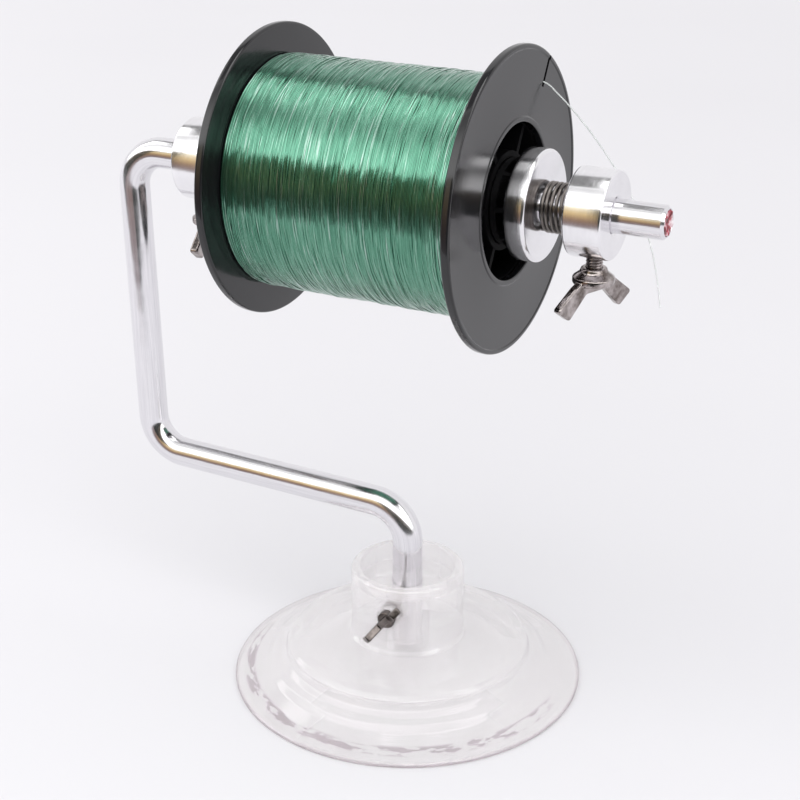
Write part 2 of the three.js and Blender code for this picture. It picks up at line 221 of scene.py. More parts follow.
def drawn_metal(name, light, dark, roughness, streak_depth):
    """Drawn, polished rod: hair-fine streaks along its length and slow dents from bending."""
    m = Nodes(name)
    grain = m.attribute("grain")
    streaks = m.noise(m.place(grain, (5, 5, 0.05)), 1, 4, 0.65)
    ripple = m.noise(m.place(grain, (0.25, 0.25, 0.12)), 1, 2)
    smudge = m.noise(m.place(scale=(120, 120, 120)), 1, 4, 0.6)
    m.set(Metallic=1.0)
    fine = m.bump(streaks, streak_depth)
    m.drive(
        Base_Color=m.ramp(streaks, (0.3, dark), (0.6, light)),
        Roughness=m.spread(smudge, 0.3, 0.75, roughness - 0.04, roughness + 0.08),
        Normal=m.bump(ripple, 0.05 * MM, before=fine),
    )
    return m.material


def nickel_plate(name, light, dark):
    """Plated die casting: slightly orange-peeled, browner where the plating is thin."""
    m = Nodes(name)
    cast = m.noise(m.place(scale=(700, 700, 700)), 1, 5, 0.6)
    patches = m.noise(m.place(scale=(330, 330, 330)), 1, 4, 0.6)
    m.set(Metallic=1.0)
    m.drive(
        Base_Color=m.ramp(patches, (0.35, dark), (0.65, light)),
        Roughness=m.spread(cast, 0.3, 0.7, 0.08, 0.2),
        Normal=m.bump(cast, 0.06 * MM),
    )
    return m.material


def spring_wire(name):
    """Dark drawn spring steel, with lengthwise die marks."""
    m = Nodes(name)
    marks = m.noise(m.place(m.attribute("grain"), (7, 7, 0.3)), 1, 4, 0.6)
    m.set(Metallic=1.0)
    m.drive(
        Base_Color=m.ramp(marks, (0.3, (0.1, 0.088, 0.08)), (0.7, (0.27, 0.245, 0.23))),
        Roughness=m.spread(marks, 0.3, 0.7, 0.22, 0.42),
        Normal=m.bump(marks, 0.02 * MM),
    )
    return m.material


def moulded_black(name, colour, roughness, shine):
    """Moulded black styrene, with swirling hairline scratches and a little dust."""
    m = Nodes(name)
    here = m.place(scale=(1000, 1000, 1000))
    scratches = m.noise(m.place(m.attribute("grain"), (0.4, 0.4, 5)), 1, 5, 0.7)
    haze = m.noise(here, 0.09, 3)
    dust = m.noise(here, 3.5, 2)
    clean = (colour, colour, 1.15 * colour)
    dusty = (5 * colour, 5 * colour, 6 * colour)
    m.set(IOR=1.53, Specular_IOR_Level=shine)
    m.drive(
        Base_Color=m.ramp(dust, (0.66, clean), (0.8, dusty)),
        Roughness=m.spread(haze, 0.35, 0.7, roughness, roughness + 0.09),
        Normal=m.bump(scratches, 0.006 * MM),
    )
    return m.material


def red_rubber(name):
    """Dark red rubber, with pale pink patches painted on as the lit facets' highlights."""
    m = Nodes(name)
    patches = m.noise(m.place(scale=(620, 620, 620)), 1, 2, 0.5)
    grain = m.noise(m.place(scale=(1500, 1500, 1500)), 1, 4, 0.6)
    m.drive(
        # The pale pink stops are painted highlights for the lit facets; the dark red stops are the
        # rubber's own colour.
        Base_Color=m.ramp(patches, (0.4, (0.13, 0.012, 0.016)), (0.5, (0.42, 0.05, 0.075)),
                          (0.56, (0.62, 0.36, 0.39)), (0.7, (0.8, 0.72, 0.74))),
        Roughness=m.spread(grain, 0.3, 0.7, 0.15, 0.4),
        Normal=m.bump(grain, 0.1 * MM),
    )
    return m.material


def wound_line(name):
    """Clear green nylon in many layers: what light it returns comes back tinted by the strands below."""
    m = Nodes(name)
    tone = m.attribute("tone", "Fac")
    along = m.noise(m.place(scale=(350, 350, 350)), 1, 3)
    streak = m.noise(m.place(scale=(2600, 150, 150)), 1, 3, 0.6)
    mixed = m.math("ADD", m.math("MULTIPLY", tone, 0.3), m.math("MULTIPLY", streak, 0.7))
    m.set(Metallic=0.94, IOR=1.53, Coat_Weight=1.0, Coat_Roughness=0.07)
    m.drive(
        Base_Color=m.ramp(mixed, (0.25, (0.03, 0.17, 0.1)), (0.42, (0.055, 0.225, 0.14)),
                          (0.55, (0.08, 0.27, 0.175)), (0.64, (0.13, 0.33, 0.23)),
                          (0.74, (0.3, 0.44, 0.38))),
        Roughness=m.spread(along, 0.3, 0.7, 0.12, 0.22),
    )
    return m.material


def clear_line(name):
    """A single strand of the line, nearly clear."""
    m = Nodes(name)
    along = m.noise(m.place(scale=(400, 400, 400)), 1, 3)
    m.set(IOR=1.4, Transmission_Weight=0.4)
    m.drive(
        Base_Color=m.ramp(along, (0.3, (0.86, 0.9, 0.88)), (0.7, (0.96, 0.98, 0.97))),
        Roughness=m.spread(along, 0.3, 0.7, 0.15, 0.3),
    )
    return m.material


PAINTED_RIM_LINE_RUN = 47.9       # along the cup's outline from its middle, in mm, where the rim lies and a thin painted dark line stands for its edge's refraction
SMEAR_RUN = 52.6     # and where it has been smeared


def clear_pvc(name):
    """Soft clear PVC: milky, faintly lilac, smeared near the rim where it has been pressed down, with a
    painted dark line along the rim's edge standing in for its refraction.
    """
    m = Nodes(name)
    cloud = m.noise(m.place(scale=(50, 50, 50)), 1, 3)
    grain = m.attribute("grain")
    axes = m.add("ShaderNodeSeparateXYZ")
    m.link(grain, axes.inputs[0])
    run = axes.outputs["Z"]
    # rim is a thin painted dark line at the rim's edge, standing in for the refraction there.
    rim = m.spread(m.math("ABSOLUTE", m.math("SUBTRACT", run, PAINTED_RIM_LINE_RUN), 0), 0.3, 1.3, 1, 0)
    band = m.spread(m.math("ABSOLUTE", m.math("SUBTRACT", run, SMEAR_RUN), 0), 1.0, 1.9, 1, 0)
    front = m.spread(axes.outputs["Y"], -2, 1, 1, 0)
    torn = m.spread(m.noise(m.place(grain, (0.62, 0.62, 0.6)), 1, 4, 0.65), 0.5, 0.53, 0, 1)
    smear = m.math("MULTIPLY", m.math("MULTIPLY", band, front), torn)
    # tint adds the smear to the painted rim line.
    tint = m.math("ADD", smear, rim)
    milk = m.math("ADD", 0.8, m.math("MULTIPLY", cloud, 0.2))
    tone = m.math("SUBTRACT", milk, m.math("MULTIPLY", tint, 0.8))
    m.set(IOR=1.38, Transmission_Weight=0.62, Alpha=0.6)
    m.set(Coat_Weight=0.8, Coat_Roughness=0.09, Coat_IOR=1.5)
    m.drive(
        Base_Color=m.ramp(tone, (0.0, (0.36, 0.27, 0.31)), (0.75, (0.985, 0.95, 0.96)),
                          (1.0, (1.0, 0.985, 0.985))),
        Roughness=m.spread(cloud, 0.3, 0.7, 0.12, 0.26),
    )
    return m.material


# ---------------------------------------------------------------- mesh helpers

SHARP = 30               # an edge between faces at more degrees than this is sharp
SHARP_TURNED = 40        # on a turned piece, whose fillets have few steps
SHARP_THREAD = 45
SHARP_COIL = 50
SHARP_STRAND = 80
ON_AXIS = 1e-9
GRAIN_R = 10             # of the circle that a lathe's grain runs round


def rounded(corners, closed=True, steps=5):
    """An outline from corners (x, y, fillet radius), with each fillet as a true arc."""
    outline = []
    count = len(corners)
    for i, (x, y, radius) in enumerate(corners):
        here = Vector((x, y))
        if radius == 0 or (not closed and i in (0, count - 1)):
            outline.append(here)
            continue
        back = (Vector(corners[i - 1][:2]) - here).normalized()
        on = (Vector(corners[(i + 1) % count][:2]) - here).normalized()
        half = back.angle(on) / 2
        centre = here + (back + on).normalized() * radius / math.sin(half)
        first = here + back * radius / math.tan(half) - centre
        last = here + on * radius / math.tan(half) - centre
        turn = first.angle(last)
        for k in range(steps + 1):
            t = k / steps
            arm = first * math.sin((1 - t) * turn) + last * math.sin(t * turn)
            outline.append(centre + arm / math.sin(turn))
    return outline


def new_object(name, mesh):
    piece = bpy.data.objects.new(name, mesh)
    bpy.context.scene.collection.objects.link(piece)
    return piece


def finish_mesh(bm, name, sharp=SHARP):
    """Closes a bmesh into an object, smooth except across edges sharper than the angle in degrees."""
    bmesh.ops.recalc_face_normals(bm, faces=bm.faces)
    mesh = bpy.data.meshes.new(name)
    bm.to_mesh(mesh)
    bm.free()
    mesh.shade_smooth()
    mesh.set_sharp_from_angle(angle=math.radians(sharp))
    return new_object(name, mesh)


def lathe(name, profile, segments=128, ring=False, sharp=SHARP):
    """Turns a profile of (radius, height) about Z. A ring profile closes on itself round a bore.

    Its grain is the bearing as a point on a circle, and the run along the profile in millimetres.
    """
    bm = bmesh.new()
    grain = bm.verts.layers.float_vector.new("grain")
    rows = []
    run = 0.0
    before = profile[0]
    for point in profile:
        run += (Vector(point) - Vector(before)).length
        before = point
        radius, height = point
        count = 1 if radius < ON_AXIS else segments
        row = []
        for i in range(count):
            a = TAU * i / segments
            vert = bm.verts.new((radius * math.cos(a), radius * math.sin(a), height))
            vert[grain] = Vector((math.cos(a) * GRAIN_R, math.sin(a) * GRAIN_R, run / MM))
            row.append(vert)
        rows.append(row)
    pairs = list(zip(rows, rows[1:])) + ([(rows[-1], rows[0])] if ring else [])
    for lower, upper in pairs:
        for i in range(segments):
            j = (i + 1) % segments
            below = [lower[i % len(lower)], lower[j % len(lower)]]
            above = [upper[j % len(upper)], upper[i % len(upper)]]
            unique = list(dict.fromkeys(below + above))
            if len(unique) > 2:
                bm.faces.new(unique)
    return finish_mesh(bm, name, sharp)


def tube(bm, points, radius, sides, across, tone=0.0, flat=1.0):
    """Sweeps a circle along points. `across` fixes one of its axes, and `flat` squeezes the other."""
    grain = bm.verts.layers.float_vector.get("grain")
    tones = bm.verts.layers.float.get("tone")
    rows = []
    run = 0.0
    last = len(points) - 1
    for i, point in enumerate(points):
        run += (point - points[max(i - 1, 0)]).length
        tangent = (points[min(i + 1, last)] - points[max(i - 1, 0)]).normalized()
        side = (across - tangent * across.dot(tangent)).normalized()
        up = tangent.cross(side) * flat
        row = []
        for k in range(sides):
            a = TAU * k / sides
            size = radius(i) if callable(radius) else radius
            vert = bm.verts.new(point + (side * math.cos(a) + up * math.sin(a)) * size)
            if grain:
                vert[grain] = Vector((math.cos(a) * size / MM, math.sin(a) * size / MM, run / MM))
            if tones:
                vert[tones] = tone
            row.append(vert)
        rows.append(row)
    for lower, upper in zip(rows, rows[1:]):
        for k in range(sides):
            bm.faces.new((lower[k], lower[(k + 1) % sides], upper[(k + 1) % sides], upper[k]))
    bm.faces.new(list(reversed(rows[0])))
    bm.faces.new(rows[-1])
    return rows


def applied(piece):
    """The piece with its modifiers made permanent."""
    graph = bpy.context.evaluated_depsgraph_get()
    mesh = bpy.data.meshes.new_from_object(piece.evaluated_get(graph), depsgraph=graph)
    piece.modifiers.clear()
    piece.data = mesh
    return piece


def combine(piece, others, operation):
    """Joins the others to the piece or cuts them from it, and removes them."""
    for other in others:
        modifier = piece.modifiers.new("combine", "BOOLEAN")
        modifier.operation = operation
        modifier.solver = "EXACT"
        modifier.object = other
    bpy.context.view_layer.update()
    applied(piece)
    for other in others:
        bpy.data.objects.remove(other)
    return piece


def resmooth(piece, sharp=SHARP):
    """Shades the piece smooth again after a modifier has been applied."""
    piece.data.shade_smooth()
    piece.data.set_sharp_from_angle(angle=math.radians(sharp))
    return piece


def put(piece, matrix):
    """Moves the piece's mesh, so that its object stays at the origin."""
    piece.data.transform(matrix)
    if matrix.is_negative:
        piece.data.flip_normals()
    piece.data.update()
    return piece


def dress(piece, finish, body, slot, *nodes):
    """Gives the piece its finish, its body and the CAD nodes that it stands for. The slot is not used.
    """
    piece.data.materials.clear()
    piece.data.materials.append(finish)
    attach(piece, body)
    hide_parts(*nodes)
    return piece


def along_axle(side):
    """Places a piece built along +Z, with z = 0 at the spool's middle, on one side of the axle."""
    turn = Matrix.Rotation(math.pi / 2 if side == "right" else -math.pi / 2, 4, "Y")
    return Matrix.Translation((SPOOL_X, 0, AXLE_Z)) @ turn


# ---------------------------------------------------------------- loose end of the line

LINE_D = 0.35 * MM
TAIL_ROUTE_MM = [
    (24.6, 14.2, 26.1), (26.0, 15.0, 25.55), (27.3, 15.05, 25.5), (28.7, 15.3, 25.1),
    (30.6, 17.4, 22.6), (33.0, 20.6, 18.7), (36.0, 23.7, 13.8), (39.0, 25.9, 9.0),
    (42.2, 27.4, 3.9), (45.8, 28.2, -1.7), (49.6, 27.9, -7.8), (52.8, 26.8, -14.0),
    (55.0, 25.6, -19.9), (56.4, 25.0, -25.4), (57.0, 25.0, -29.4),
]  # from the cup's axis, and in height from the axle


def loose_line():
    """The tail slips out through the slit in the right flange, droops past the axle and is cut off."""
    points = [Vector((CUP_X + x * MM, y * MM, AXLE_Z + z * MM)) for x, y, z in TAIL_ROUTE_MM]
    data = bpy.data.curves.new("loose_line", "CURVE")
    data.dimensions = "3D"
    data.bevel_depth = LINE_D / 2
    data.bevel_resolution = 2
    data.use_fill_caps = True
    data.resolution_u = 6
    spline = data.splines.new("BEZIER")
    spline.bezier_points.add(len(points) - 1)
    for bezier, point in zip(spline.bezier_points, points):
        bezier.co = point
        bezier.handle_left_type = bezier.handle_right_type = "AUTO"
    piece = new_object("loose_line", data)
    bpy.context.view_layer.update()
    data.materials.append(clear_line("clear line"))
    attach(piece, "spool")
    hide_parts("line_tail")
    return piece


loose_line()


# ---------------------------------------------------------------- studio

FLOOR_R = 8.0
REACH = 0.95             # of the softbox and the dark ceiling behind it, from the axle
FLAG_REACH = 0.9
LENGTH = 7.0             # they run far past the stand on both sides

# Degrees round the axle, as overhead() counts them.
BOX_FROM, FLAG_FROM, BOX_TO, REAR_TO, CEILING_TO = 27, 79, 84, 105, 117
FRONT_LIGHT_AT = 50
FRONT_LIGHT = 1.2
PAPER_EDGE = -0.29       # in front of the paper is a dark room, with warm lamplight in one part of it
ROOM_Y = -1.3
SIDEWAYS = -0.47         # how far along X a mirror image on the axle lies, for each metre away from it
LAMP_HALVES = (0.17, 0.36)
FLAG_HALF = 0.27


def grey(level):
    return (level, level, level)


# What each card shows from its lower edge, 0, to its upper one, 1.
ROOM = (
    (0.0, (0.06, 0.064, 0.062)), (0.15, (0.06, 0.06, 0.055)), (0.3, (0.1, 0.085, 0.065)),
    (0.7, (0.16, 0.145, 0.1)), (1.0, (0.34, 0.33, 0.27)),
)
LAMPLIGHT = (
    (0.0, (0.3, 0.26, 0.27)), (0.04, (0.2, 0.15, 0.14)), (0.1, (0.25, 0.16, 0.11)),
    (0.25, (0.58, 0.42, 0.21)), (0.6, (0.84, 0.75, 0.54)), (1.0, (1.1, 1.05, 0.95)),
)
SOFTBOX = (
    (0.0, grey(0.8)), (0.1, grey(1.0)), (0.4, grey(0.85)),
    (0.66, grey(0.36)), (0.8, grey(0.3)), (1.0, grey(0.8)),
)
EVEN = ((0, grey(1)), (1, grey(1)))


def overhead(degrees, reach=REACH):
    """A point round the axle: 0 degrees is level, in front, and 90 degrees is straight up."""
    a = math.radians(degrees)
    return Vector((0, -reach * math.cos(a), AXLE_Z + reach * math.sin(a)))


def mirrored(point):
    """The point moved along X to where the turned metal on the axle mirrors it towards the camera."""
    away = point - Vector((0, 0, AXLE_Z))
    return point + Vector((SIDEWAYS * away.length, 0, 0))


def glow(name, strength, stops):
    """A plain glowing finish, shaded along the card from its lower edge to its upper one."""
    material = bpy.data.materials.new(name)
    material.use_nodes = True
    nodes, links = material.node_tree.nodes, material.node_tree.links
    nodes.remove(nodes["Principled BSDF"])
    emission = nodes.new("ShaderNodeEmission")
    emission.inputs["Strength"].default_value = strength
    across = nodes.new("ShaderNodeAttribute")
    across.attribute_name = "across"
    ramp = nodes.new("ShaderNodeValToRGB")
    set_stops(ramp, stops)
    links.new(across.outputs["Fac"], ramp.inputs["Fac"])
    links.new(ramp.outputs["Color"], emission.inputs["Color"])
    links.new(emission.outputs["Emission"], nodes["Material Output"].inputs["Surface"])
    return material


def reflected(name, lower, upper, material, lower_half=LENGTH, upper_half=LENGTH):
    """A card that shows only in reflections. It throws no light or shadow on anything."""
    bm = bmesh.new()
    across = bm.verts.layers.float.new("across")
    along, above = Vector((lower_half, 0, 0)), Vector((upper_half, 0, 0))
    corners = [(lower - along, 0), (lower + along, 0), (upper + above, 1), (upper - above, 1)]
    verts = []
    for corner, share in corners:
        verts.append(bm.verts.new(corner))
        verts[-1][across] = share
    bm.faces.new(verts)
    mesh = bpy.data.meshes.new(name)
    bm.to_mesh(mesh)
    bm.free()
    mesh.materials.append(material)
    piece = new_object(name, mesh)
    for ray in ("camera", "diffuse", "transmission", "volume_scatter", "shadow"):
        setattr(piece, f"visible_{ray}", False)
    return piece


def paper_floor():
    """Pale paper, with painted light: greyer near the stand and paler far away, evening out how the
    lamps' light falls off across it.
    """
    floor = lathe("floor", [(0, 0), (0.3, 0), (1.0, 0), (FLOOR_R, 0)], 96)
    m = Nodes("paper floor with painted falloff")
    here = m.place()
    far = m.add("ShaderNodeVectorMath", operation="LENGTH")
    m.link(here, far.inputs[0])
    mottle = m.math("MULTIPLY", m.noise(m.place(scale=(3, 3, 3)), 1, 2), 0.12)
    # reach ramps the paper from painted shade near the stand to painted light far off, evening out the
    # lamps' falloff.
    reach = m.spread(far.outputs["Value"], 0.2, 2.6, 0.0, 0.88)
    tone = m.math("ADD", mottle, reach)
    m.set(Roughness=0.9, Specular_IOR_Level=0.1)
    m.drive(Base_Color=m.ramp(tone, (0.0, (0.7, 0.695, 0.712)), (1.0, (0.99, 0.985, 1.0))))
    floor.data.materials.append(m.material)
    floor.location.z = -0.05 * MM


def front_light():
    """The softbox's light on everything. What it looks like in reflections is the softbox card."""
    data = bpy.data.lights.new("front box", "AREA")
    data.shape = "RECTANGLE"
    data.size, data.size_y = LENGTH, REACH
    data.energy = FRONT_LIGHT * math.pi * data.size * data.size_y
    box = new_object("front box", data)
    box.location = overhead(FRONT_LIGHT_AT)
    towards = overhead(FRONT_LIGHT_AT, 0) - box.location
    box.rotation_euler = towards.to_track_quat("-Z", "Y").to_euler()
    box.visible_camera = box.visible_glossy = False


def cards():
    """What polished metal and glossy line mirror: a dark room, lamplight, and softboxes overhead."""
    near = Vector((0, PAPER_EDGE, 1 * MM))
    far = Vector((0, ROOM_Y, AXLE_Z - ROOM_Y * math.tan(math.radians(BOX_FROM))))
    reflected("room", near, far, glow("room", 1.0, ROOM))
    nearer = Vector((0, 5, 5)) * MM
    lamplight = glow("lamplight", 1.35, LAMPLIGHT)
    reflected("lamplight", mirrored(near) + nearer, mirrored(far) + nearer, lamplight, *LAMP_HALVES)
    reflected("softbox", overhead(BOX_FROM), overhead(BOX_TO), glow("softbox", 2.7, SOFTBOX))
    reflected("rear box", overhead(BOX_TO), overhead(REAR_TO), glow("rear box", 3.2, EVEN))
    dark = glow("ceiling", 0.26, EVEN)
    reflected("ceiling", overhead(REAR_TO), overhead(CEILING_TO), dark)
    lower, upper = overhead(FLAG_FROM, FLAG_REACH), overhead(REAR_TO, FLAG_REACH)
    reflected("flag", mirrored(lower), mirrored(upper), dark, FLAG_HALF, FLAG_HALF)


def studio():
    world = bpy.data.worlds.new("studio")
    bpy.context.scene.world = world
    world.use_nodes = True
    background = world.node_tree.nodes["Background"]
    background.inputs["Color"].default_value = (0.99, 0.982, 1.0, 1)
    background.inputs["Strength"].default_value = 0.94
    paper_floor()
    front_light()
    cards()


studio()


# ---------------------------------------------------------------- bent rod

ROD_BEND_R = 10 * MM
ROD_SIDES = 48

# Across from the cup's axis, and up from the table. None is the axle's tip, or its height.
ROD_CORNERS_MM = [(0, 9.4), (0, 48.35), (-80.35, 49.75), (-82.05, None), (None, None)]
ROD_CHAMFER = 0.7 * MM
ROD_STEP = 4 * MM
BORE_CHAMFER = 0.1 * MM
BORE_GRAIN_R, BORE_GRAIN_RUN = 3, 300     # the grain inside the tip, away from the rod's own
PLUG_R = 3.0 * MM
PLUG_DEPTH = 4 * MM
PLUG_LOBES = 5
PLUG_PROFILE_MM = [
    (0, -4), (2.9, -4), (3.0, -3.8), (3.0, -0.3), (2.85, -0.02),
    (2.4, 0.05), (1.7, -0.1), (0.9, -0.35), (0, -0.5),
]
PLUG_EDGE_R = 2.4 * MM
PLUG_STILL_R = 0.5 * MM           # the lobes start outside this
PLUG_FACE_FROM = -0.6 * MM        # the face is above this
PLUG_SUNK = 0.05 * MM


def rod_path():
    """The rod's centreline in the XZ plane, with true arcs at the bends."""
    corners = []
    for x, z in ROD_CORNERS_MM:
        across = AXLE_TIP_X if x is None else CUP_X + x * MM
        height = AXLE_Z if z is None else z * MM
        corners.append((across, height, ROD_BEND_R))
    line = rounded(corners, closed=False, steps=20)
    dense = []
    for start, end in zip(line, line[1:]):
        count = max(1, round((end - start).length / ROD_STEP))
        dense += [start.lerp(end, i / count) for i in range(count)]
    dense.append(line[-1])
    return [Vector((x, 0, z)) for x, z in dense]


def bent_rod(finish):
    """The rod, with a chamfered tip bored for its plug."""
    points = rod_path()
    lip = points[-1] - Vector((ROD_CHAMFER, 0, 0))
    points = [p for p in points if p.x < lip.x - 1e-5 or p.z < AXLE_Z - 1e-3] + [lip, points[-1]]
    last = len(points) - 1
    side, up = Vector((0, 1, 0)), Vector((0, 0, 1))
    bm = bmesh.new()
    grain = bm.verts.layers.float_vector.new("grain")
    rows = tube(bm, points, lambda i: ROD_R - (ROD_CHAMFER if i == last else 0), ROD_SIDES, side)
    caps = [f for f in bm.faces if len(f.verts) == ROD_SIDES]
    tip = [f for f in caps if f.calc_center_median().x > lip.x]
    bmesh.ops.delete(bm, geom=tip, context="FACES_ONLY")
    before = rows[-1]
    bore = PLUG_R + FIT
    for inset, depth in ((bore + BORE_CHAMFER, 0), (bore, BORE_CHAMFER), (bore, PLUG_DEPTH + SLACK)):
        centre = Vector((AXLE_TIP_X - depth, 0, AXLE_Z))
        row = []
        for k in range(ROD_SIDES):
            a = TAU * k / ROD_SIDES
            c, s = math.cos(a), math.sin(a)
            vert = bm.verts.new(centre + (side * c + up * s) * inset)
            vert[grain] = Vector((c * BORE_GRAIN_R, s * BORE_GRAIN_R, BORE_GRAIN_RUN))
            row.append(vert)
        for k in range(ROD_SIDES):
            after = (k + 1) % ROD_SIDES
            bm.faces.new((before[k], before[after], row[after], row[k]))
        before = row
    bm.faces.new(before)
    return dress(finish_mesh(bm, "bent_rod"), finish, "arm", "aluminium", "arm_rod")


def end_plug(finish):
    """A soft red plug pressed into the rod's hollow tip, its face crimped into lobes."""
    proud = extent("rod_end_plug", 0)[1] - AXLE_TIP_X
    piece = lathe("end_plug", [(r * MM, h * MM) for r, h in PLUG_PROFILE_MM], 60)
    for vert in piece.data.vertices:
        radius = math.hypot(vert.co.x, vert.co.y)
        if vert.co.z > PLUG_FACE_FROM and radius > PLUG_STILL_R:
            lobe = max(0.0, math.cos(PLUG_LOBES * math.atan2(vert.co.y, vert.co.x)))
            vert.co.z += proud * lobe * min(1.0, radius / PLUG_EDGE_R) - PLUG_SUNK
    top = max(v.co.z for v in piece.data.vertices)
    seat = Matrix.Translation((AXLE_TIP_X + proud - top, 0, AXLE_Z))
    place = seat @ Matrix.Rotation(math.pi / 2, 4, "Y")
    return dress(put(piece, place), finish, "arm", "red_rubber", "rod_end_plug")


# ---------------------------------------------------------------- suction cup

BASE_SCREW_Z = middle("base_screw_stud").z
BASE_BEARING = math.atan2(middle("base_screw_stud").y, middle("base_screw_stud").x - CUP_X)
COLLAR_SCREW = {
    "stud": 2.0, "scale": 1.0, "thick": 2.1, "foot": 3.0,
    "hub": 5.0, "pitch": 0.7, "inside": 6.15,
}
BASE_SCREW = {
    "stud": 1.5, "scale": 0.61, "thick": 1.9, "foot": 2.0,
    "hub": 2.3, "pitch": 0.5, "inside": 7.8,
}
BASE_SEAT_R = 12.1 * MM
BASE_WING_ANGLE = math.radians(50)        # of the span, from level
WING_ANGLES = {"left": math.radians(100), "right": math.radians(68.2)}   # of the span, from +X
ALONG_X = Matrix(((0, 0, 1, 0), (1, 0, 0, 0), (0, 1, 0, 0), (0, 0, 0, 1)))   # turns Z to X, and X to Y
HUB_FOOT = 2.4
STUD_IN_HEAD = 4.4
NUT_FLATS = 5.5 * MM
NUT_NEAR_R = 8.2 * MM
NUT_T = 2.4 * MM
NUT_CHAMFER = 0.35 * MM
NUT_CORNER_R = NUT_FLATS / 2 / math.cos(math.pi / 6)
NUT_NEAR = NUT_NEAR_R - BASE_SEAT_R       # along the screw from its seat
NUT_FAR = NUT_NEAR + NUT_T
HEAD_BORE_R = 2.9 * MM                    # where the head's foot sinks into the neck
NECK_INSIDE = 4 * MM                      # along the screw, where the recess round the rod is open


def base_screw_place():
    """Moves a screw built along +Z, seated at z = 0 with its wings across X, to the base's neck."""
    out = Vector((math.cos(BASE_BEARING), math.sin(BASE_BEARING), 0))
    seat = Vector((CUP_X, 0, BASE_SCREW_Z)) + out * BASE_SEAT_R
    turn = Matrix.Rotation(BASE_BEARING, 4, "Z") @ Matrix.Rotation(BASE_WING_ANGLE, 4, "X")
    return Matrix.Translation(seat) @ turn @ ALONG_X


# The cup's outline as radius, height and fillet: underside, rim, skirt, steps, neck and rod hole.
CUP_CORNERS_MM = [
    (0, 6.8, 0), (20, 6.3, 6), (27, 5.2, 6), (34, 2.6, 6), (41, 0.9, 8), (44.6, 0, 0.5),
    (46.7, 0, 0), (46.9, 0.2, 0), (46.9, 0.75, 0.15), (46.4, 1.0, 0.2),
    (42, 2.4, 9), (38.2, 4.1, 2.2), (36.6, 5.6, 0.9), (34.6, 6.3, 0.9), (33.2, 7.4, 1.6),
    (32.4, 9.7, 1.4), (31.25, 10.8, 0.55), (28.5, 11.5, 5), (22, 12.35, 8), (16.2, 12.8, 0.6),
    (15.15, 13.7, 0.6), (15.1, 31.9, 1.4), (12.5, 31.9, 0.7), (12.2, 27, 0.9),
    (4.08, 27, 0.3), (4.08, 9.1, 0), (0, 9.1, 0),
]


def plug_shape(name, radius, low, high, sides):
    """A closed cylinder or prism along +Z, for cutting."""
    return lathe(name, [(0, low), (radius, low), (radius, high), (0, high)], sides)


def pvc_cup(finish):
    """The cup, with the base screw's hole and the nut's pocket in its neck."""
    profile = rounded([(r * MM, h * MM, f * MM) for r, h, f in CUP_CORNERS_MM], closed=False, steps=6)
    cup = lathe("pvc_cup", profile, 160)
    seat = HUB_FOOT * BASE_SCREW["scale"] * MM
    clear = (BASE_SCREW["stud"] + SLACK_MM) * MM
    flats = (NUT_FLATS / 2 + SLACK) / math.cos(math.pi / 6)
    cutters = [
        plug_shape("hole", clear, -9 * MM, NECK_INSIDE, 48),
        plug_shape("bore", HEAD_BORE_R, seat - SLACK, NECK_INSIDE, 48),
        plug_shape("pocket", flats, NUT_NEAR - SLACK, NUT_FAR + SLACK, 6),
    ]
    home = Matrix.Translation((-CUP_X, 0, 0)) @ base_screw_place()
    combine(cup, [put(cutter, home) for cutter in cutters], "DIFFERENCE")
    resmooth(put(cup, Matrix.Translation((CUP_X, 0, 0))))
    return dress(cup, finish, "base", "clear_pvc", "suction_cup")


def cup_nut(finish):
    """A hexagon nut with chamfered corners, moulded into the neck."""
    bore = (BASE_SCREW["stud"] + SLACK_MM) * MM
    face = NUT_FLATS / 2 + 0.05 * MM
    edge = NUT_CORNER_R + 0.05 * MM
    prism = plug_shape("cup_nut", NUT_CORNER_R, NUT_NEAR, NUT_FAR, 6)
    lens = lathe("lens", [
        (0, NUT_NEAR), (face, NUT_NEAR), (edge, NUT_NEAR + NUT_CHAMFER),
        (edge, NUT_FAR - NUT_CHAMFER), (face, NUT_FAR), (0, NUT_FAR),
    ], 48)
    combine(prism, [lens], "INTERSECT")
    combine(prism, [plug_shape("drill", bore, NUT_NEAR - MM, NUT_FAR + MM, 32)], "DIFFERENCE")
    resmooth(put(prism, base_screw_place()))
    return dress(prism, finish, "base", "nickel", "base_nut")


# ---------------------------------------------------------------- wing screws


# One wing's outline as height above the seat, distance out and fillet, in mm on a collar screw.
WING_CORNERS = [
    (4.9, 4.3, 0.8), (6.3, 6.8, 1.5), (10.66, 12.55, 0.7), (13.7, 8.54, 0.7), (8.3, 3.1, 1.4),
]
WING_EDGE = 0.4          # of the bevel along the wings' edges
CAST_VOXEL = 0.16        # fine enough to melt wings and hub into one casting


